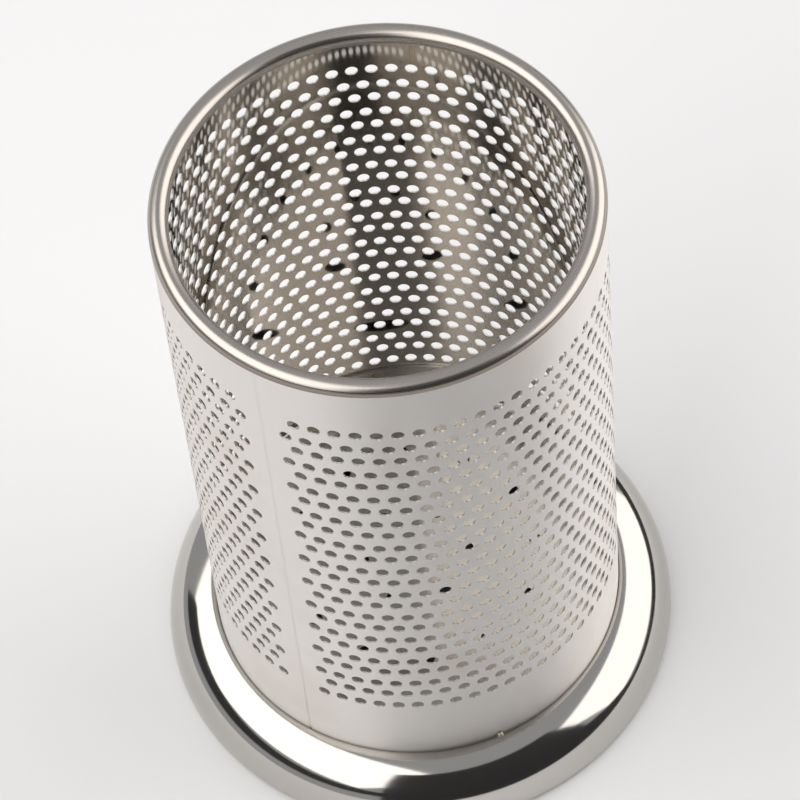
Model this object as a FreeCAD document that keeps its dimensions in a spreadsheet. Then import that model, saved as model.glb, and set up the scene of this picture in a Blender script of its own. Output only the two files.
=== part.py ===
import FreeCAD, Part
import math
import os

import Sketcher

# Perforated steel chopstick holder: a rolled sheet tube with a curled rim, pressed into a domed base.
# Millimetres, +Z up. The origin is on the tube's axis, at the plane that the base stands on.

DIMENSIONS = {
    # Tube, rolled from a punched sheet and butt welded along one seam
    "tube_diameter": 100.0,
    "sheet_thickness": 0.4,
    "tube_top": 169.5,
    "tube_foot": 6.0,
    "seam_angle": -127.4,
    "weld_width": 0.6,
    # Holes, punched two rows at a stroke, so the two rows of a pair stand a little further apart
    "hole_diameter": 3.0,
    "hole_pitch": 4.585,
    "row_pitch": 5.0775,
    "row_shift": 0.3825,
    "top_margin": 15.0,
    "flange_margin": 2.4,
    "seam_margin": 9.0,
    # Curled rim on the tube's top edge
    "rim_diameter": 4.6,
    "curl_gap": 0.7,
    # Domed base, pressed from sheet, with a neck turned down round the tube
    "base_reach": 13.0,
    "base_thickness": 0.8,
    "shoulder_radius": 13.4,
    "neck_bend_inside": 0.2,
    "lip_radius": 1.6,
    "foot_width": 2.0,
    "fit_clearance": 0.05,
    # Floor pan inside the tube, with drain holes
    "floor_level": 24.0,
    "floor_thickness": 0.6,
    "floor_corner": 2.0,
    "flange_height": 10.0,
    "drain_diameter": 3.2,
    "drain_circle": 26.0,
    "drain_count": 6.0,
    "outer_drain_circle": 60.0,
    "outer_drain_count": 12.0,
    # Welds
    "spot_diameter": 3.6,
    "spot_proud": 0.15,
    "spot_drop": 2.7,
    "spot_angle": 93.7,
    "spot_count": 3.0,
    "tack_radius": 0.9,
    "tack_angle": -72.6,
    "tack_count": 3.0,
}

START, END, CENTRE = 1, 2, 3
X_AXIS, Y_AXIS = -1, -2
ORIGIN = (X_AXIS, START)
Z_DIRECTION = FreeCAD.Vector(0, 0, 1)

doc = FreeCAD.newDocument("chopstick_holder")
sheet = doc.addObject("Spreadsheet::Sheet", "Dims")
for row, (alias, number) in enumerate(DIMENSIONS.items(), start=1):
    sheet.set(f"A{row}", alias)
    sheet.set(f"B{row}", str(number))
    sheet.setAlias(f"B{row}", alias)
doc.recompute()


def value(expression):
    """The number that a formula on the sheet's dimensions gives now."""
    return float(sheet.evalExpression(expression))


# Radii and heights that neighbouring pieces share
TUBE_RADIUS = "(Dims.tube_diameter / 2)"
BORE_RADIUS = f"({TUBE_RADIUS} - Dims.sheet_thickness)"
BASE_RADIUS = f"({TUBE_RADIUS} + Dims.base_reach)"
NECK_RADIUS = f"({TUBE_RADIUS} + Dims.fit_clearance)"
NECK_BEND = "(Dims.neck_bend_inside + Dims.base_thickness)"
FLANGE_RADIUS = f"({BORE_RADIUS} - Dims.fit_clearance)"
FLANGE_TOP = "(Dims.floor_level + Dims.flange_height)"


def plane(body, role):
    """One of a body's own origin planes."""
    return next(item for item in body.Origin.OriginFeatures if item.Role == role)


def new_sketch(body, name, role):
    sketch = body.newObject("Sketcher::SketchObject", name)
    sketch.AttachmentSupport = [(plane(body, role), "")]
    sketch.MapMode = "FlatFace"
    return sketch


def line(sketch, start, end):
    return sketch.addGeometry(Part.LineSegment(FreeCAD.Vector(*start, 0), FreeCAD.Vector(*end, 0)))


def arc(sketch, centre, radius, start, end):
    """A circular arc, counter-clockwise between two angles in degrees."""
    circle = Part.Circle(FreeCAD.Vector(*centre, 0), Z_DIRECTION, radius)
    return sketch.addGeometry(Part.ArcOfCircle(circle, math.radians(start), math.radians(end)))


def bind(sketch, constraint, expression):
    """Adds a dimension whose size is a formula on the sheet."""
    index = sketch.addConstraint(constraint)
    sketch.setExpression(f"Constraints[{index}]", expression)


def bind_x(sketch, geometry, point, expression):
    distance = Sketcher.Constraint("DistanceX", *ORIGIN, geometry, point, value(expression))
    bind(sketch, distance, expression)


def bind_y(sketch, geometry, point, expression):
    distance = Sketcher.Constraint("DistanceY", *ORIGIN, geometry, point, value(expression))
    bind(sketch, distance, expression)


def bind_radius(sketch, geometry, expression):
    bind(sketch, Sketcher.Constraint("Radius", geometry, value(expression)), expression)


def join(sketch, kind, *pairs):
    """Ties the ends of neighbouring edges, Coincident at a corner or Tangent where they run smoothly on."""
    for first, first_end, second, second_end in pairs:
        sketch.addConstraint(Sketcher.Constraint(kind, first, first_end, second, second_end))


def straighten(sketch, kind, *edges):
    for edge in edges:
        sketch.addConstraint(Sketcher.Constraint(kind, edge))


def revolve(body, sketch):
    turn = body.newObject("PartDesign::Revolution", body.Name + "_turn")
    turn.Profile = sketch
    turn.ReferenceAxis = (sketch, ["V_Axis"])
    turn.Angle = 360
    sketch.Visibility = False
    body.Tip = turn
    return turn


def new_body(label):
    body = doc.addObject("PartDesign::Body", label)
    body.Label = label
    return body


def on_cylinder(radius, angle, height):
    return FreeCAD.Vector(radius * math.cos(angle), radius * math.sin(angle), height)


def perforated_tube():
    """The sheet as it is punched flat and then rolled: each hole is a circle wrapped onto the tube.

    The wall is a stack of bands, one for each row of holes, closed by the two edges that meet at the seam.
    """
    radii = [value(TUBE_RADIUS), value(BORE_RADIUS)]
    skins = [Part.Cylinder(), Part.Cylinder()]
    for skin, radius in zip(skins, radii):
        skin.Radius = radius
    foot = value("Dims.tube_foot")
    top = value("Dims.tube_top")
    half_seam = value("Dims.weld_width") / 2 / radii[0]
    ends = [half_seam, 2 * math.pi - half_seam]

    hole_radius = value("Dims.hole_diameter") / 2
    pitch = value("Dims.hole_pitch")
    pair_pitch = 2 * value("Dims.row_pitch")
    pair_gap = value("Dims.row_pitch + Dims.row_shift")
    first_row = top - value("Dims.top_margin")
    lowest_row = value(FLANGE_TOP + " + Dims.flange_margin")
    pairs = int((first_row - pair_gap - lowest_row) / pair_pitch) + 1
    columns = int((2 * math.pi * radii[0] - value("Dims.seam_margin")) / pitch)
    rows = []
    for pair in range(pairs):
        upper = first_row - pair * pair_pitch
        rows += [(upper, columns), (upper - pair_gap, columns + 1)]
    between = [(above[0] + below[0]) / 2 for above, below in zip(rows, rows[1:])]
    levels = [top] + between + [foot]

    faces = []
    for (height, count), high, low in zip(rows, levels, levels[1:]):
        hole_edges = [[], []]
        for column in range(count):
            angle = math.pi + (column - (count - 1) / 2) * pitch / radii[0]
            centre = FreeCAD.Base.Vector2d(angle, height)
            up = FreeCAD.Base.Vector2d(angle, height + hole_radius)
            along = FreeCAD.Base.Vector2d(angle + hole_radius / radii[0], height)
            circle = Part.Geom2d.Ellipse2d(up, along, centre)
            rims = [circle.toShape(skin) for skin in skins]
            faces.append(Part.makeRuledSurface(*rims))
            for edges, rim in zip(hole_edges, rims):
                edges.append(Part.Wire([rim]))
        for skin, edges in zip(skins, hole_edges):
            band = skin.toShape(*ends, low, high)
            band.cutHoles(edges)
            faces.append(band)
        for angle in ends:
            corners = [on_cylinder(radius, angle, low) for radius in radii]
            corners += [on_cylinder(radius, angle, high) for radius in reversed(radii)]
            faces.append(Part.Face(Part.makePolygon(corners + corners[:1])))
    for height in (foot, top):
        arcs = []
        for radius in radii:
            points = [on_cylinder(radius, angle, height) for angle in (ends[0], math.pi, ends[1])]
            arcs.append(Part.Arc(*points).toShape())
        sides = []
        for angle in ends:
            sides.append(Part.makeLine(*[on_cylinder(radius, angle, height) for radius in radii]))
        faces.append(Part.Face(Part.Wire([arcs[0], sides[1], arcs[1], sides[0]])))

    shell = Part.makeShell(faces)
    shell.sewShape()
    tube = doc.addObject("Part::Feature", "perforated_tube")
    tube.Shape = Part.makeSolid(shell)
    tube.Placement.Rotation = FreeCAD.Rotation(Z_DIRECTION, value("Dims.seam_angle"))
    print("holes", sum(count for _, count in rows), "in", len(rows), "rows")
    return tube


def seam_weld():
    """The butt weld that fills the slit between the sheet's two edges, ground flush on both sides."""
    body = new_body("seam_weld")
    sketch = new_sketch(body, "seam_section", "XZ_Plane")
    corners = [
        (BORE_RADIUS, "Dims.tube_foot"),
        (TUBE_RADIUS, "Dims.tube_foot"),
        (TUBE_RADIUS, "Dims.tube_top"),
        (BORE_RADIUS, "Dims.tube_top"),
    ]
    points = [(value(x), value(z)) for x, z in corners]
    edges = [line(sketch, points[i], points[(i + 1) % 4]) for i in range(4)]
    join(sketch, "Coincident", *[(edges[i], END, edges[(i + 1) % 4], START) for i in range(4)])
    straighten(sketch, "Horizontal", edges[0], edges[2])
    straighten(sketch, "Vertical", edges[1], edges[3])
    bind_x(sketch, edges[0], START, BORE_RADIUS)
    bind_x(sketch, edges[0], END, TUBE_RADIUS)
    bind_y(sketch, edges[0], START, "Dims.tube_foot")
    bind_y(sketch, edges[2], START, "Dims.tube_top")
    turn = revolve(body, sketch)
    turn.Midplane = True
    turn.setExpression("Angle", "Dims.weld_width / Dims.tube_diameter * 360 / pi")
    body.setExpression("Placement.Rotation.Angle", "Dims.seam_angle")
    return body


def rolled_rim():
    """The curl that stiffens the tube's mouth: the sheet goes up from the wall, over and in, and back down."""
    body = new_body("rolled_rim")
    sketch = new_sketch(body, "rim_section", "XZ_Plane")
    centre_x = "(Dims.tube_diameter - Dims.rim_diameter) / 2"
    outside = "Dims.rim_diameter / 2"
    inside = "Dims.rim_diameter / 2 - Dims.sheet_thickness"
    tip_x = BORE_RADIUS + " - Dims.curl_gap"
    centre = (value(centre_x), value("Dims.tube_top"))
    curl = 360 - math.degrees(math.acos((value(tip_x) - centre[0]) / value(outside)))
    outer = arc(sketch, centre, value(outside), 0, curl)
    inner = arc(sketch, centre, value(inside), 0, curl)
    seat = line(sketch, (centre[0] + value(inside), centre[1]), (centre[0] + value(outside), centre[1]))
    turned = (math.cos(math.radians(curl)), math.sin(math.radians(curl)))
    tip_in = [c + value(inside) * t for c, t in zip(centre, turned)]
    tip_out = [c + value(outside) * t for c, t in zip(centre, turned)]
    tip = line(sketch, tip_in, tip_out)
    join(
        sketch,
        "Coincident",
        (outer, CENTRE, inner, CENTRE),
        (seat, START, inner, START),
        (seat, END, outer, START),
        (tip, START, inner, END),
        (tip, END, outer, END),
    )
    straighten(sketch, "Horizontal", seat)
    bind_x(sketch, outer, CENTRE, centre_x)
    bind_y(sketch, outer, CENTRE, "Dims.tube_top")
    bind_y(sketch, seat, START, "Dims.tube_top")
    bind_radius(sketch, outer, outside)
    bind_radius(sketch, inner, inside)
    sketch.addConstraint(Sketcher.Constraint("PointOnObject", outer, CENTRE, tip))
    bind_x(sketch, tip, END, tip_x)
    revolve(body, sketch)
    return body


def base_shell():
    """The pressed base: a neck round the tube, a quarter-round shoulder and a lip rolled under as the foot."""
    body = new_body("base_shell")
    sketch = new_sketch(body, "base_section", "XZ_Plane")
    shoulder_x = BASE_RADIUS + " - Dims.shoulder_radius"
    lip_x = BASE_RADIUS + " - Dims.lip_radius"
    foot_x = lip_x + " - Dims.foot_width"
    wall = value("Dims.base_thickness")
    foot_z = value("Dims.tube_foot")
    lip = value("Dims.lip_radius")
    shoulder = value("Dims.shoulder_radius")
    bend = value(NECK_BEND)
    neck = value(NECK_RADIUS)

    shoulder_centre = (value(shoulder_x), lip)
    bend_across = neck + bend - shoulder_centre[0]
    bend_up = math.sqrt((shoulder - bend) ** 2 - bend_across**2)
    bend_centre = (shoulder_centre[0] + bend_across, shoulder_centre[1] + bend_up)
    blend = math.degrees(math.atan2(bend_up, bend_across))
    lip_centre = (value(lip_x), lip)

    neck_face = line(sketch, (neck, foot_z), (neck, bend_centre[1]))
    bend_outer = arc(sketch, bend_centre, bend, blend, 180)
    shoulder_outer = arc(sketch, shoulder_centre, shoulder, 0, blend)
    lip_outer = arc(sketch, lip_centre, lip, -90, 0)
    foot_under = line(sketch, (value(lip_x), 0), (value(foot_x), 0))
    foot_end = line(sketch, (value(foot_x), 0), (value(foot_x), wall))
    foot_over = line(sketch, (value(foot_x), wall), (value(lip_x), wall))
    lip_inner = arc(sketch, lip_centre, lip - wall, -90, 0)
    shoulder_inner = arc(sketch, shoulder_centre, shoulder - wall, 0, blend)
    bend_inner = arc(sketch, bend_centre, bend - wall, blend, 180)
    neck_back = line(sketch, (neck + wall, bend_centre[1]), (neck + wall, foot_z))
    neck_end = line(sketch, (neck + wall, foot_z), (neck, foot_z))

    join(
        sketch,
        "Tangent",
        (neck_face, END, bend_outer, END),
        (bend_outer, START, shoulder_outer, END),
        (shoulder_outer, START, lip_outer, END),
        (lip_outer, START, foot_under, START),
        (foot_over, END, lip_inner, START),
        (lip_inner, END, shoulder_inner, START),
        (shoulder_inner, END, bend_inner, START),
        (bend_inner, END, neck_back, START),
    )
    join(
        sketch,
        "Coincident",
        (foot_under, END, foot_end, START),
        (foot_end, END, foot_over, START),
        (neck_back, END, neck_end, START),
        (neck_end, END, neck_face, START),
        (shoulder_inner, CENTRE, shoulder_outer, CENTRE),
    )
    straighten(sketch, "Vertical", neck_face, foot_end, neck_back)
    straighten(sketch, "Horizontal", foot_under, foot_over, neck_end)
    bind_x(sketch, neck_face, START, NECK_RADIUS)
    bind_y(sketch, neck_face, START, "Dims.tube_foot")
    bind_x(sketch, neck_end, START, NECK_RADIUS + " + Dims.base_thickness")
    bind_x(sketch, shoulder_outer, CENTRE, shoulder_x)
    bind_y(sketch, shoulder_outer, CENTRE, "Dims.lip_radius")
    sketch.addConstraint(Sketcher.Constraint("PointOnObject", foot_under, START, X_AXIS))
    bind_x(sketch, foot_under, END, foot_x)
    bind_y(sketch, foot_end, END, "Dims.base_thickness")
    bind_radius(sketch, bend_outer, NECK_BEND)
    bind_radius(sketch, shoulder_outer, "Dims.shoulder_radius")
    bind_radius(sketch, lip_outer, "Dims.lip_radius")
    bind_radius(sketch, lip_inner, "Dims.lip_radius - Dims.base_thickness")
    bind_radius(sketch, shoulder_inner, "Dims.shoulder_radius - Dims.base_thickness")
    bind_radius(sketch, bend_inner, "Dims.neck_bend_inside")
    revolve(body, sketch)
    return body


def floor_pan():
    """The pressed floor: a flat disc with drain holes, and a flange turned up inside the tube's wall."""
    body = new_body("floor_pan")
    sketch = new_sketch(body, "floor_section", "XZ_Plane")
    under = "Dims.floor_level - Dims.floor_thickness"
    wall = value("Dims.floor_thickness")
    corner = value("Dims.floor_corner")
    right = value(FLANGE_RADIUS)
    low = value(under)
    high = value(FLANGE_TOP)
    bend_centre = (right - corner, low + corner)

    bottom = line(sketch, (0, low), (right - corner, low))
    corner_outer = arc(sketch, bend_centre, corner, -90, 0)
    flange_outer = line(sketch, (right, low + corner), (right, high))
    flange_edge = line(sketch, (right, high), (right - wall, high))
    flange_inner = line(sketch, (right - wall, high), (right - wall, low + corner))
    corner_inner = arc(sketch, bend_centre, corner - wall, -90, 0)
    top = line(sketch, (right - corner, low + wall), (0, low + wall))
    middle = line(sketch, (0, low + wall), (0, low))
    join(
        sketch,
        "Tangent",
        (bottom, END, corner_outer, START),
        (corner_outer, END, flange_outer, START),
        (flange_inner, END, corner_inner, END),
        (corner_inner, START, top, START),
    )
    join(
        sketch,
        "Coincident",
        (flange_outer, END, flange_edge, START),
        (flange_edge, END, flange_inner, START),
        (top, END, middle, START),
        (middle, END, bottom, START),
    )
    straighten(sketch, "Horizontal", bottom, flange_edge, top)
    straighten(sketch, "Vertical", flange_outer, flange_inner, middle)
    sketch.addConstraint(Sketcher.Constraint("PointOnObject", bottom, START, Y_AXIS))
    bind_y(sketch, bottom, START, under)
    bind_y(sketch, top, END, "Dims.floor_level")
    bind_x(sketch, flange_outer, END, FLANGE_RADIUS)
    bind_x(sketch, flange_inner, START, FLANGE_RADIUS + " - Dims.floor_thickness")
    bind_y(sketch, flange_outer, END, FLANGE_TOP)
    bind_radius(sketch, corner_outer, "Dims.floor_corner")
    bind_radius(sketch, corner_inner, "Dims.floor_corner - Dims.floor_thickness")
    revolve(body, sketch)
    doc.recompute()

    for name, circle, count in (
        ("drain", "Dims.drain_circle", "Dims.drain_count"),
        ("outer_drain", "Dims.outer_drain_circle", "Dims.outer_drain_count"),
    ):
        hole = new_sketch(body, name + "_sketch", "XY_Plane")
        spot = FreeCAD.Vector(value(circle) / 2, 0, 0)
        ring = hole.addGeometry(Part.Circle(spot, Z_DIRECTION, value("Dims.drain_diameter") / 2))
        hole.addConstraint(Sketcher.Constraint("PointOnObject", ring, CENTRE, X_AXIS))
        bind_x(hole, ring, CENTRE, circle + " / 2")
        bind_radius(hole, ring, "Dims.drain_diameter / 2")
        pocket = body.newObject("PartDesign::Pocket", name)
        pocket.Profile = hole
        pocket.Reversed = True
        pocket.setExpression("Length", FLANGE_TOP)
        hole.Visibility = False
        doc.recompute()
        pattern = body.newObject("PartDesign::PolarPattern", name + "_ring")
        pattern.Originals = [pocket]
        pattern.Axis = (hole, ["N_Axis"])
        pattern.Angle = 360
        pattern.setExpression("Occurrences", count)
        body.Tip = pattern
        doc.recompute()
    return body


def spot_welds():
    """Round resistance-weld marks that stand a hair proud of the flange's inner face."""
    skin = doc.addObject("Part::Cylinder", "spot_skin")
    skin.setExpression("Radius", FLANGE_RADIUS + " - Dims.floor_thickness")
    core = doc.addObject("Part::Cylinder", "spot_core")
    core.setExpression("Radius", "spot_skin.Radius - Dims.spot_proud * 1 mm")
    for cylinder in (skin, core):
        cylinder.setExpression("Height", "Dims.tube_top")
    layer = doc.addObject("Part::Cut", "spot_layer")
    layer.Base = skin
    layer.Tool = core
    discs = []
    for index in range(int(value("Dims.spot_count"))):
        disc = doc.addObject("Part::Cylinder", f"spot_disc_{index}")
        disc.setExpression("Radius", "Dims.spot_diameter / 2")
        disc.setExpression("Height", TUBE_RADIUS)
        turn = value("Dims.spot_angle") + index * 360 / value("Dims.spot_count")
        lie_out = FreeCAD.Rotation(Z_DIRECTION, turn) * FreeCAD.Rotation(FreeCAD.Vector(0, 1, 0), 90)
        disc.Placement.Rotation = lie_out
        disc.setExpression("Placement.Base.z", FLANGE_TOP + " - Dims.spot_drop")
        discs.append(disc)
    bundle = doc.addObject("Part::MultiFuse", "spot_discs")
    bundle.Shapes = discs
    marks = doc.addObject("Part::MultiCommon", "floor_spot_welds")
    marks.Shapes = [layer, bundle]
    return marks


def tack_welds(base):
    """Small beads of weld in the groove between the tube's wall and the base's neck."""
    beads = []
    reach = NECK_RADIUS + " + Dims.tack_radius / 2"
    bend_across = f"({NECK_RADIUS} + {NECK_BEND} - {BASE_RADIUS} + Dims.shoulder_radius)"
    bend_up = f"sqrt((Dims.shoulder_radius - {NECK_BEND})^2 - {bend_across}^2)"
    level = f"Dims.lip_radius + {bend_up} + {NECK_BEND}"
    for index in range(int(value("Dims.tack_count"))):
        bead = doc.addObject("Part::Sphere", f"tack_bead_{index}")
        bead.setExpression("Radius", "Dims.tack_radius")
        turn = math.radians(value("Dims.tack_angle") + index * 360 / value("Dims.tack_count"))
        bead.setExpression("Placement.Base.x", f"({reach}) * {math.cos(turn)}")
        bead.setExpression("Placement.Base.y", f"({reach}) * {math.sin(turn)}")
        bead.setExpression("Placement.Base.z", level)
        beads.append(bead)
    bundle = doc.addObject("Part::MultiFuse", "tack_beads")
    bundle.Shapes = beads
    wall = doc.addObject("Part::Cylinder", "tack_wall")
    wall.setExpression("Radius", TUBE_RADIUS)
    wall.setExpression("Height", "Dims.tube_top")
    clear_of_wall = doc.addObject("Part::Cut", "tack_clear_of_wall")
    clear_of_wall.Base = bundle
    clear_of_wall.Tool = wall
    tacks = doc.addObject("Part::Cut", "base_tack_welds")
    tacks.Base = clear_of_wall
    tacks.Tool = base
    return tacks


base = base_shell()
pieces = [
    perforated_tube(),
    seam_weld(),
    rolled_rim(),
    base,
    floor_pan(),
    spot_welds(),
    tack_welds(base),
]
doc.recompute()

for item in doc.Objects:
    if "Invalid" in item.State or "Error" in item.State:
        raise RuntimeError(f"{item.Label} did not build: {item.State}")
os.makedirs("parts", exist_ok=True)
for piece in pieces:
    shape = piece.Shape
    if shape.isNull() or not shape.isValid() or shape.Volume <= 0:
        raise RuntimeError(f"{piece.Label} has no valid solid")
    shape.exportStep(f"parts/{piece.Label}.step")
    print(piece.Label, len(shape.Solids), "solids", round(shape.Volume, 1), "mm3", shape.BoundBox)
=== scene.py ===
import math

import bpy
import numpy as np
from mathutils import Matrix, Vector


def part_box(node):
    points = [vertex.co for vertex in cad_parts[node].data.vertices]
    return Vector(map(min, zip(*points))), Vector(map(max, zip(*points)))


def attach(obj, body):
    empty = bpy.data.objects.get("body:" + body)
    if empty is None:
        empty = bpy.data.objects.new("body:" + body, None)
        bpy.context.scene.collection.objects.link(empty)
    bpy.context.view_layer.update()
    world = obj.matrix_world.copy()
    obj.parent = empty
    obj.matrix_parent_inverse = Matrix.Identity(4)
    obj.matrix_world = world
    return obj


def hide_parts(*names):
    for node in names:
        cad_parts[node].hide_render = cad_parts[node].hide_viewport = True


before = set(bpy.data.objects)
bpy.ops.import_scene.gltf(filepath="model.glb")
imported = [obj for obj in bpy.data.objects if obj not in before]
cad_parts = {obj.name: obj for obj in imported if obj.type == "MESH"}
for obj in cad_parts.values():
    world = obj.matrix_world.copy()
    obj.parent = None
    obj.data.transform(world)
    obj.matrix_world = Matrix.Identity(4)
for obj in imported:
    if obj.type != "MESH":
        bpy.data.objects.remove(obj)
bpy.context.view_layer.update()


# Perforated tube: one thin sheet of stainless steel, punched flat with staggered holes, two rows at a
# stroke, then rolled into a cup. Satin outside and bright inside. Plain strips are left for the rim, the
# base and the seam.
tube_low, tube_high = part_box("perforated_tube")
tube_radius = (tube_high.x - tube_low.x) / 2
sheet_thickness = 0.0004
bore_radius = tube_radius - sheet_thickness
tube_foot = tube_low.z
tube_top = tube_high.z
seam_angle = math.radians(-127.4)
weld_width = 0.0006
hole_radius = 0.0015
hole_pitch = 0.004585
row_pitch = 0.0050775
row_shift = 0.0003825
top_margin = 0.015
row_pairs = 12
hole_columns = 66
merge_distance = 1e-8


def lay_mesh(name, corners, normals):
    """A piece made of four-cornered faces, (faces, 4, 3) in metres, with the shading normal at each corner.

    Corners at one place become one vertex, so that neighbouring patches close up, and each face is wound
    the way its normals point.
    """
    across = np.cross(corners[:, 2] - corners[:, 0], corners[:, 3] - corners[:, 1])
    inside_out = (across * normals.sum(axis=1)).sum(axis=1) < 0
    corners[inside_out] = corners[inside_out, ::-1]
    normals[inside_out] = normals[inside_out, ::-1]
    points = corners.reshape(-1, 3)
    places = np.round(points / merge_distance).astype(np.int64)
    _, first, index = np.unique(places, axis=0, return_index=True, return_inverse=True)
    mesh = bpy.data.meshes.new(name)
    mesh.vertices.add(len(first))
    mesh.vertices.foreach_set("co", points[first].ravel())
    mesh.loops.add(len(points))
    mesh.loops.foreach_set("vertex_index", index.ravel().astype(np.int32))
    mesh.polygons.add(len(corners))
    mesh.polygons.foreach_set("loop_start", np.arange(0, len(points), 4, dtype=np.int32))
    mesh.update(calc_edges=True)
    mesh.polygons.foreach_set("use_smooth", np.ones(len(corners), bool))
    mesh.normals_split_custom_set(normals.reshape(-1, 3))
    piece = bpy.data.objects.new(name, mesh)
    bpy.context.scene.collection.objects.link(piece)
    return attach(piece, "root")


def on_tube(flat, radius):
    """Rolls points of the flat sheet, (distance from the middle of the sheet, height), onto a cylinder."""
    turn = seam_angle + math.pi + flat[..., 0] / tube_radius
    return np.stack([radius * np.cos(turn), radius * np.sin(turn), flat[..., 1]], axis=-1)


def direction_on_tube(flat, out, along, up):
    """The direction with these parts along the radius, along the sheet and upwards, at points of it."""
    turn = seam_angle + math.pi + flat[..., 0] / tube_radius
    x = out * np.cos(turn) - along * np.sin(turn)
    y = out * np.sin(turn) + along * np.cos(turn)
    return np.stack([x, y, up + 0 * turn], axis=-1)


def plain_patch(distances, heights):
    """A grid of four-cornered faces of flat sheet between lines of equal distance and equal height."""
    grid = np.stack(np.meshgrid(distances, heights, indexing="ij"), axis=-1)
    faces = np.stack([grid[:-1, :-1], grid[1:, :-1], grid[1:, 1:], grid[:-1, 1:]], axis=2)
    return faces.reshape(-1, 4, 2)


def cut_edge(lines, facing):
    """The sheet's cut edge along lines of flat points: a strip from the outer skin to the inner one."""
    corners = [
        on_tube(lines[:, :-1], tube_radius),
        on_tube(lines[:, 1:], tube_radius),
        on_tube(lines[:, 1:], bore_radius),
        on_tube(lines[:, :-1], bore_radius),
    ]
    ways = direction_on_tube(lines, 0.0, facing[..., 0], facing[..., 1])
    normals = [ways[:, :-1], ways[:, 1:], ways[:, 1:], ways[:, :-1]]
    return np.stack(corners, axis=2).reshape(-1, 4, 3), np.stack(normals, axis=2).reshape(-1, 4, 3)


# Each hole sits in a rectangular cell of the sheet. Sixteen points go round the hole and round the cell's
# edge, a quarter of the pitch apart along its top and bottom, so that the staggered rows share their points.
hole_sides = 16
corner_steps = [0, 4, 8, 12, 16]
step = np.arange(hole_sides + 1)
hole_turn = (step - 2) * 2 * math.pi / hole_sides
cell_x = np.interp(step, corner_steps, [1, 1, -1, -1, 1])
cell_z = np.interp(step, corner_steps, [-1, 1, 1, -1, -1])
wide_half = (row_pitch + row_shift) / 2
close_half = (row_pitch - row_shift) / 2

pair = np.repeat(np.arange(row_pairs), 2)
second_of_pair = np.tile([0, 1], row_pairs)
row_height = tube_top - top_margin - pair * 2 * row_pitch - second_of_pair * 2 * wide_half
row_up = np.where(second_of_pair, wide_half, close_half)
row_down = np.where(second_of_pair, close_half, wide_half)
row_count = hole_columns + second_of_pair

row_of_hole = np.repeat(np.arange(row_height.size), row_count)
column_of_hole = np.arange(row_of_hole.size) - np.repeat(np.cumsum(row_count) - row_count, row_count)
hole_distance = (column_of_hole - (row_count[row_of_hole] - 1) / 2) * hole_pitch
hole_centre = np.stack([hole_distance, row_height[row_of_hole]], axis=-1)[:, None]
circle = np.stack([np.cos(hole_turn), np.sin(hole_turn)], axis=-1)
hole_line = hole_centre + hole_radius * circle
cell_reach = np.where(cell_z > 0, row_up[row_of_hole, None], row_down[row_of_hole, None])
cell_line = hole_centre + np.stack([cell_x * hole_pitch / 2 + 0 * cell_reach, cell_z * cell_reach], axis=-1)
cells = np.stack([hole_line[:, :-1], cell_line[:, :-1], cell_line[:, 1:], hole_line[:, 1:]], axis=2)

# The plain strips: beside the seam in every row, and right round above the first row and below the last.
seam_edge = math.pi * tube_radius - weld_width / 2
quarter = hole_pitch / 4
last_cell = (hole_columns + 1) / 2 * hole_pitch
beside_seam = np.linspace(last_cell, seam_edge, 3)
short_row_end = last_cell - np.array([2, 1]) * quarter
patches = [cells.reshape(-1, 4, 2)]
for height, up, down, long_row in zip(row_height, row_up, row_down, second_of_pair):
    margin = beside_seam if long_row else np.concatenate([short_row_end, beside_seam])
    row_lines = height + np.array([-down, -down / 2, 0.0, up / 2, up])
    patches += [plain_patch(margin, row_lines), plain_patch(-margin[::-1], row_lines)]
quarters = np.arange(-2 * (hole_columns + 1), 2 * (hole_columns + 1) + 1) * quarter
round_sheet = np.concatenate([-beside_seam[:0:-1], quarters, beside_seam[1:]])
above_holes = np.linspace(row_height[0] + row_up[0], tube_top, 4)
below_holes = np.linspace(tube_foot, row_height[-1] - row_down[-1], 6)
patches += [plain_patch(round_sheet, above_holes), plain_patch(round_sheet, below_holes)]
sheet = np.concatenate(patches)

row_lines = row_height[:, None] + np.stack([row_up, row_up / 2, 0 * row_up, -row_down / 2], axis=-1)
seam_heights = np.concatenate([above_holes[:0:-1], row_lines.ravel(), below_holes[::-1]])
edge_lines = [
    (hole_line, -circle + 0 * hole_line),
    (np.stack([0 * seam_heights + seam_edge, seam_heights], axis=-1)[None], np.array([1.0, 0.0])),
    (np.stack([0 * seam_heights - seam_edge, seam_heights], axis=-1)[None], np.array([-1.0, 0.0])),
    (np.stack([round_sheet, 0 * round_sheet + tube_top], axis=-1)[None], np.array([0.0, 1.0])),
    (np.stack([round_sheet, 0 * round_sheet + tube_foot], axis=-1)[None], np.array([0.0, -1.0])),
]
edges = [cut_edge(lines, facing) for lines, facing in edge_lines]
corners = [on_tube(sheet, tube_radius), on_tube(sheet, bore_radius)] + [edge[0] for edge in edges]
normals = [direction_on_tube(sheet, 1.0, 0.0, 0.0), direction_on_tube(sheet, -1.0, 0.0, 0.0)]
normals += [edge[1] for edge in edges]
tube = lay_mesh("punched_tube", np.concatenate(corners), np.concatenate(normals))
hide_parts("perforated_tube")


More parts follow.
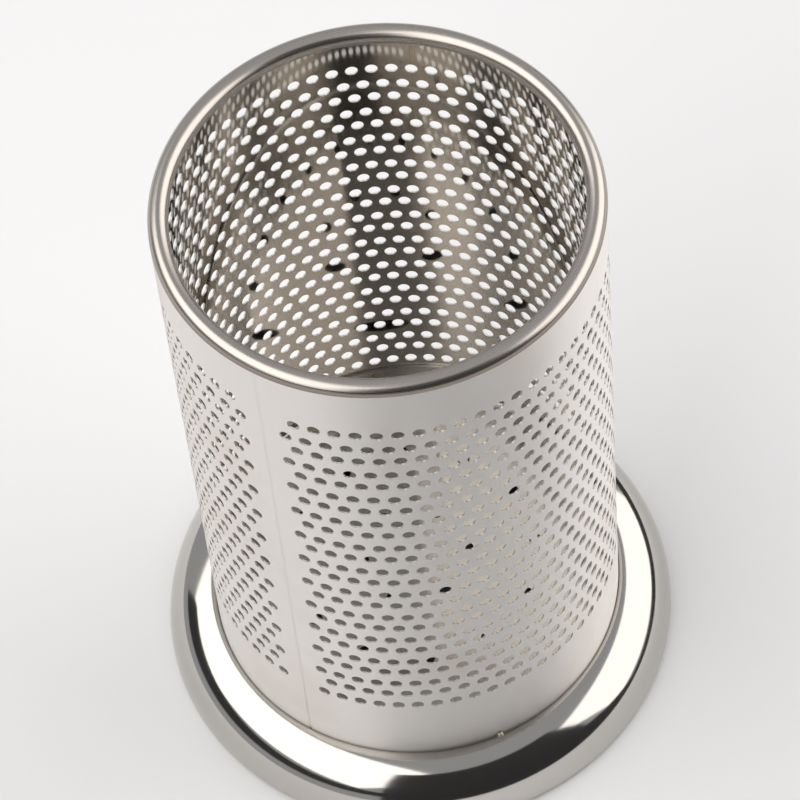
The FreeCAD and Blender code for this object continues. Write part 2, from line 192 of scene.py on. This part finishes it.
class Signal:
    """A shader socket to reckon with: each operator adds the Math node that it stands for."""

    def __init__(self, socket):
        self.socket = socket
        self.nodes = socket.id_data.nodes
        self.links = socket.id_data.links

    def node(self, kind, inputs, settings=None, output=0):
        """Adds a node of a kind, applies its settings, then fills or links its inputs by name or number."""
        made = self.nodes.new("ShaderNode" + kind)
        for name, setting in (settings or {}).items():
            setattr(made, name, setting)
        for name, given in inputs.items():
            if isinstance(given, Signal):
                self.links.new(given.socket, made.inputs[name])
            else:
                made.inputs[name].default_value = given
        return Signal(made.outputs[output])

    def reckon(self, operation, first, second):
        """Adds the Math node of an operation on two numbers or signals."""
        return self.node("Math", {0: first, 1: second}, {"operation": operation})

    def __add__(self, other):
        return self.reckon("ADD", self, other)

    __radd__ = __add__

    def __sub__(self, other):
        return self.reckon("SUBTRACT", self, other)

    def __mul__(self, other):
        return self.reckon("MULTIPLY", self, other)

    def over(self, limit):
        """1 where the signal is over a limit, and 0 elsewhere."""
        return self.reckon("GREATER_THAN", self, limit)

    def feed(self, shader, name):
        """Links the signal to an input of a shader."""
        self.links.new(self.socket, shader.inputs[name])


def new_steel(name, colour):
    """A bare metal finish, its shader, and the place on the object as a signal."""
    steel = bpy.data.materials.new(name)
    steel.use_nodes = True
    shader = steel.node_tree.nodes["Principled BSDF"]
    shader.inputs["Metallic"].default_value = 1.0
    shader.inputs["Base Color"].default_value = colour
    place = Signal(steel.node_tree.nodes.new("ShaderNodeTexCoord").outputs["Object"])
    return steel, shader, place


def mix_colour(share, first, second):
    """A colour that goes from the first to the second as the share goes from 0 to 1."""
    return share.node("Mix", {0: share, 6: first, 7: second}, {"data_type": "RGBA"}, output=2)


def mottle(place, stretch, detail):
    """Noise about 0.5 whose grains per metre along X, Y and Z are the three numbers of the stretch."""
    grain = place.node("Mapping", {"Vector": place, "Scale": stretch})
    return place.node("TexNoise", {"Vector": grain, "Scale": 1.0, "Detail": detail, "Roughness": 0.6})


# Outside, the sheet was rubbed round the tube, which draws its reflections out up and down, and it is a
# little warmer where it is stained. The inner skin is the sheet's bright side. The cut edges are satin.
outside_colour = (0.79, 0.767, 0.74, 1.0)
stain_colour = (0.74, 0.68, 0.63, 1.0)
inside_colour = (0.60, 0.57, 0.53, 1.0)
outside_roughness = 0.5
inside_roughness = 0.04
cloud_stretch = (60.0, 60.0, 25.0)
grain_stretch = (2600.0, 2600.0, 700.0)
stain_stretch = (38.0, 38.0, 30.0)
satin_steel, shader, place = new_steel("satin_sheet", outside_colour)
shader.inputs["Anisotropic"].default_value = 0.85
shader.inputs["Anisotropic Rotation"].default_value = 0.25
cloud = mottle(place, cloud_stretch, 3.0)
grain = mottle(place, grain_stretch, 1.0)
blotches = mottle(place, stain_stretch, 4.0)
stain = place.node("MapRange", {"Value": blotches, "From Min": 0.52, "From Max": 0.75, "To Max": 0.7})
mix_colour(stain, outside_colour, stain_colour).feed(shader, "Base Color")
(outside_roughness + (cloud - 0.5) * 0.1 + (grain - 0.5) * 0.05).feed(shader, "Roughness")
place.node("Bump", {"Strength": 0.015, "Distance": 0.0001, "Height": grain}).feed(shader, "Normal")
bright_steel, shader, place = new_steel("bright_sheet", inside_colour)
cloud = mottle(place, cloud_stretch, 3.0)
(inside_roughness + (cloud - 0.5) * 0.04).feed(shader, "Roughness")
tube.data.materials.append(satin_steel)
tube.data.materials.append(bright_steel)
face_radius = np.linalg.norm(np.concatenate(corners).mean(axis=1)[:, :2], axis=1)
inner_skin = face_radius < bore_radius + sheet_thickness / 4
tube.data.polygons.foreach_set("material_index", inner_skin.astype(np.int32))


# Seam weld: the thin butt weld that closes the rolled sheet, ground flush on both sides.
# It runs the tube's whole height in the middle of the plain margin.
seam_steel, shader, place = new_steel("ground_weld", (0.78, 0.755, 0.73, 1.0))
ripple = mottle(place, (300.0, 300.0, 1400.0), 2.0)
(0.38 + ripple * 0.14).feed(shader, "Roughness")
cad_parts["seam_weld"].data.materials.clear()
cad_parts["seam_weld"].data.materials.append(seam_steel)


# Rolled rim: the tube's mouth is curled inwards into a hollow bead, flush with the wall outside.
# It is polished, with fine lines left round it by the wheel, and a dark brown band of painted shade on its
# outer face where it meets the wall.
bead_radius = 0.0023
curl_gap = 0.0007
bead_centre = np.array([tube_radius - bead_radius, tube_top])
ring_steps = 288


def arc(centre, radius, start, end, steps, outward=1.0):
    """A round stretch of a section, in radius and height, between two angles in degrees, and its normals."""
    turn = np.radians(np.linspace(start, end, steps + 1))
    way = np.stack([np.cos(turn), np.sin(turn)], axis=-1)
    return np.asarray(centre) + radius * way, outward * way


def straight(start, end, facing):
    """A straight stretch of a section and its normals."""
    return np.array([start, end], float), np.array([facing, facing], float)


def spun(name, section):
    """A closed section, stretch by stretch in radius and height, carried once round the Z axis."""
    turn = np.linspace(0.0, 2 * math.pi, ring_steps + 1)
    turn[-1] = 0.0
    corners, normals = [], []
    for points, facing in section:
        made = []
        for across in (points, facing):
            x = across[:, None, 0] * np.cos(turn)
            y = across[:, None, 0] * np.sin(turn)
            grid = np.stack([x, y, across[:, None, 1] + 0 * turn], axis=-1)
            faces = np.stack([grid[:-1, :-1], grid[1:, :-1], grid[1:, 1:], grid[:-1, 1:]], axis=2)
            made.append(faces.reshape(-1, 4, 3))
        corners.append(made[0])
        normals.append(made[1])
    return lay_mesh(name, np.concatenate(corners), np.concatenate(normals))


curl_inside = bead_radius - sheet_thickness
curl_end = 360 - math.degrees(math.acos((curl_inside - curl_gap) / bead_radius))
tip = np.array([math.cos(math.radians(curl_end)), math.sin(math.radians(curl_end))])
rim = spun("curled_rim", [
    arc(bead_centre, bead_radius, 0, curl_end, 40),
    straight(bead_centre + bead_radius * tip, bead_centre + curl_inside * tip, (-tip[1], tip[0])),
    arc(bead_centre, curl_inside, curl_end, 0, 24, -1.0),
    straight(bead_centre + (curl_inside, 0), bead_centre + (bead_radius, 0), (0, -1)),
])
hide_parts("rolled_rim")

rim_colour = (0.56, 0.52, 0.48, 1.0)
# The colour of the painted shade in the crease under the bead.
crease_shade_colour = (0.24, 0.195, 0.165, 1.0)
crease_shade_start = tube_top + 0.0018
crease_shade_full = tube_top + 0.0005
rim_steel, shader, place = new_steel("polished_rim", rim_colour)
level = place.node("VectorMath", {0: place, 1: (1.0, 1.0, 0.0)}, {"operation": "MULTIPLY"})
radius = place.node("VectorMath", {0: level}, {"operation": "LENGTH"}, output=1)
lines = place.node("TexNoise", {"W": radius, "Scale": 9000.0, "Detail": 2.0}, {"noise_dimensions": "1D"})
(0.22 + lines * 0.10).feed(shader, "Roughness")
place.node("Bump", {"Strength": 0.05, "Distance": 0.0001, "Height": lines}).feed(shader, "Normal")
height = place.node("SeparateXYZ", {0: place}, output=2)
# Painted shade: the bead's outer half turns dark brown from 1.8 mm above the wall's top down to the crease
# where it meets the wall.
fade = {"Value": height, "From Min": crease_shade_start, "From Max": crease_shade_full, "To Max": 0.85}
crease_shade = place.node("MapRange", fade) * radius.over(tube_radius - bead_radius)
mix_colour(crease_shade, rim_colour, crease_shade_colour).feed(shader, "Base Color")
rim.data.materials.append(rim_steel)


# Floor pan: a pressed disc with drain holes, its flange turned up inside the wall and spot welded there.
# Bright rolled steel, dulled a little in patches.
floor_steel, shader, place = new_steel("bright_floor", (0.50, 0.48, 0.45, 1.0))
(0.08 + mottle(place, (90.0, 90.0, 90.0), 3.0) * 0.14).feed(shader, "Roughness")
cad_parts["floor_pan"].data.materials.clear()
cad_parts["floor_pan"].data.materials.append(floor_steel)


# Spot welds and tack welds: small marks where the flange and the base are welded to the tube,
# tinted brown by the heat.
weld_steel, shader, place = new_steel("heat_tint", (0.42, 0.38, 0.33, 1.0))
(0.3 + mottle(place, (2500.0, 2500.0, 2500.0), 2.0) * 0.3).feed(shader, "Roughness")
for mark in ("floor_spot_welds", "base_tack_welds"):
    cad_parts[mark].data.materials.clear()
    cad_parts[mark].data.materials.append(weld_steel)


# Base shell: a wide ring pressed from sheet, with a neck turned down round the tube, a quarter-round
# shoulder and a lip rolled under as the foot. Mirror polished, with faint smears.
base_low, base_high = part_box("base_shell")
base_radius = (base_high.x - base_low.x) / 2
base_thickness = 0.0008
shoulder_radius = 0.0134
neck_clearance = 0.00005
neck_radius = tube_radius + neck_clearance
neck_bend = 0.001
lip_radius = 0.0016
foot_width = 0.002
shoulder_centre = np.array([base_radius - shoulder_radius, lip_radius])
lip_centre = np.array([base_radius - lip_radius, lip_radius])
bend_across = neck_radius + neck_bend - shoulder_centre[0]
bend_up = math.sqrt((shoulder_radius - neck_bend) ** 2 - bend_across ** 2)
bend_centre = shoulder_centre + (bend_across, bend_up)
blend = math.degrees(math.atan2(bend_up, bend_across))
neck_back = neck_radius + base_thickness
foot_inner = lip_centre[0] - foot_width
base = spun("domed_base", [
    straight((neck_radius, tube_foot), (neck_radius, bend_centre[1]), (-1, 0)),
    arc(bend_centre, neck_bend, 180, blend, 12),
    arc(shoulder_centre, shoulder_radius, blend, 0, 56),
    arc(lip_centre, lip_radius, 0, -90, 12),
    straight((lip_centre[0], 0.0), (foot_inner, 0.0), (0, -1)),
    straight((foot_inner, 0.0), (foot_inner, base_thickness), (-1, 0)),
    straight((foot_inner, base_thickness), (lip_centre[0], base_thickness), (0, 1)),
    arc(lip_centre, lip_radius - base_thickness, -90, 0, 8, -1.0),
    arc(shoulder_centre, shoulder_radius - base_thickness, 0, blend, 32, -1.0),
    arc(bend_centre, neck_bend - base_thickness, blend, 180, 6, -1.0),
    straight((neck_back, bend_centre[1]), (neck_back, tube_foot), (1, 0)),
    straight((neck_back, tube_foot), (neck_radius, tube_foot), (0, -1)),
])
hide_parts("base_shell")

mirror_steel, shader, place = new_steel("mirror_base", (0.56, 0.54, 0.51, 1.0))
smear = mottle(place, (70.0, 70.0, 70.0), 4.0)
(0.065 + smear * 0.06).feed(shader, "Roughness")
base.data.materials.append(mirror_steel)


# The studio: a plain pale floor in a grey room, a soft box at either side, and black cards round the front
# and low down that give the polished steel its dark bands.
floor_size = 12.0
pale = (0.92, 0.925, 0.938)
floor_mesh = bpy.data.meshes.new("studio_floor")
half = floor_size / 2
below_foot = -0.0002
floor_corners = [(-half, -half, below_foot), (half, -half, below_foot), (half, half, below_foot),
                 (-half, half, below_foot)]
floor_mesh.from_pydata(floor_corners, [], [(0, 1, 2, 3)])
studio_floor = bpy.data.objects.new("studio_floor", floor_mesh)
bpy.context.scene.collection.objects.link(studio_floor)
paper = bpy.data.materials.new("pale_paper")
paper.use_nodes = True
paper_shader = paper.node_tree.nodes["Principled BSDF"]
paper_shader.inputs["Base Color"].default_value = (*pale, 1.0)
paper_shader.inputs["Roughness"].default_value = 0.9
paper_shader.inputs["Specular IOR Level"].default_value = 0.1
floor_mesh.materials.append(paper)

card_distance = 1.6
card_black = bpy.data.materials.new("black_card")
card_black.use_nodes = True
card_shader = card_black.node_tree.nodes["Principled BSDF"]
card_shader.inputs["Base Color"].default_value = (0.06, 0.06, 0.063, 1.0)
card_shader.inputs["Roughness"].default_value = 1.0
card_shader.inputs["Specular IOR Level"].default_value = 0.0


def towards(azimuth, elevation, distance):
    """A place as seen from the object: azimuth from the front towards the right, elevation, in degrees."""
    a, e = np.radians(azimuth), np.radians(elevation)
    return np.stack([np.sin(a) * np.cos(e), -np.cos(a) * np.cos(e), np.sin(e) + 0 * a], axis=-1) * distance


def black_card(name, left, right, low, high_left, high_right):
    """A bent card between two azimuths, from a low elevation up to one that changes evenly along it."""
    across, up = np.meshgrid(np.linspace(0, 1, 25), np.linspace(0, 1, 13), indexing="ij")
    azimuth = left + across * (right - left)
    top = high_left + across * (high_right - high_left)
    grid = towards(azimuth, low + up * (top - low), card_distance)
    faces = np.stack([grid[:-1, :-1], grid[1:, :-1], grid[1:, 1:], grid[:-1, 1:]], axis=2).reshape(-1, 3)
    mesh = bpy.data.meshes.new(name)
    mesh.from_pydata(faces.tolist(), [], np.arange(len(faces)).reshape(-1, 4).tolist())
    mesh.materials.append(card_black)
    card = bpy.data.objects.new(name, mesh)
    card.visible_camera = False
    bpy.context.scene.collection.objects.link(card)


black_card("front_card", left=-22, right=58, low=0, high_left=60, high_right=60)
black_card("left_low_card", left=-125, right=-22, low=11, high_left=31, high_right=19)
black_card("right_low_card", left=58, right=80, low=0, high_left=22, high_right=6)
black_card("right_back_card", left=80, right=155, low=0, high_left=6, high_right=14)

box_distance = 1.4


def soft_box(name, azimuth, elevation, width, height, radiance):
    """A rectangular lamp that faces the object; its power follows from how bright its face is."""
    lamp = bpy.data.lights.new(name, "AREA")
    lamp.shape = "RECTANGLE"
    lamp.size = width
    lamp.size_y = height
    lamp.color = (1.0, 0.965, 0.925)
    lamp.energy = radiance * math.pi * width * height
    box = bpy.data.objects.new(name, lamp)
    box.location = towards(azimuth, elevation, box_distance)
    box.rotation_mode = "QUATERNION"
    box.rotation_quaternion = box.location.to_track_quat("Z", "Y")
    bpy.context.scene.collection.objects.link(box)


soft_box("left_box", azimuth=-76, elevation=54, width=2.7, height=1.3, radiance=1.66)
soft_box("right_box", azimuth=102, elevation=35, width=1.9, height=1.3, radiance=1.52)

world = bpy.data.worlds.new("surround")
world.use_nodes = True
bpy.context.scene.world = world
surround = world.node_tree.nodes["Background"]
surround.inputs["Color"].default_value = (0.42, 0.425, 0.435, 1.0)
surround.inputs["Strength"].default_value = 1.0


# The camera, where the photograph was taken from: in front, well above the rim and tilted a little.
camera_place = (-0.0078, -0.5178, 0.8718)
camera_elevation = 56.38
camera_turn = -0.91
camera_roll = -6.18
camera_data = bpy.data.cameras.new("camera")
camera_data.sensor_width = 36.0
camera_data.lens = 180.97
camera_data.clip_start = 0.05
camera_data.clip_end = 50.0
camera = bpy.data.objects.new("camera", camera_data)
turn = Matrix.Rotation(math.radians(camera_turn), 4, "Z")
tilt = Matrix.Rotation(math.radians(90 - camera_elevation), 4, "X")
roll = Matrix.Rotation(math.radians(camera_roll), 4, "Z")
camera.matrix_world = Matrix.Translation(camera_place) @ turn @ tilt @ roll
bpy.context.scene.collection.objects.link(camera)
bpy.context.scene.camera = camera
bpy.context.scene.view_settings.view_transform = "Standard"
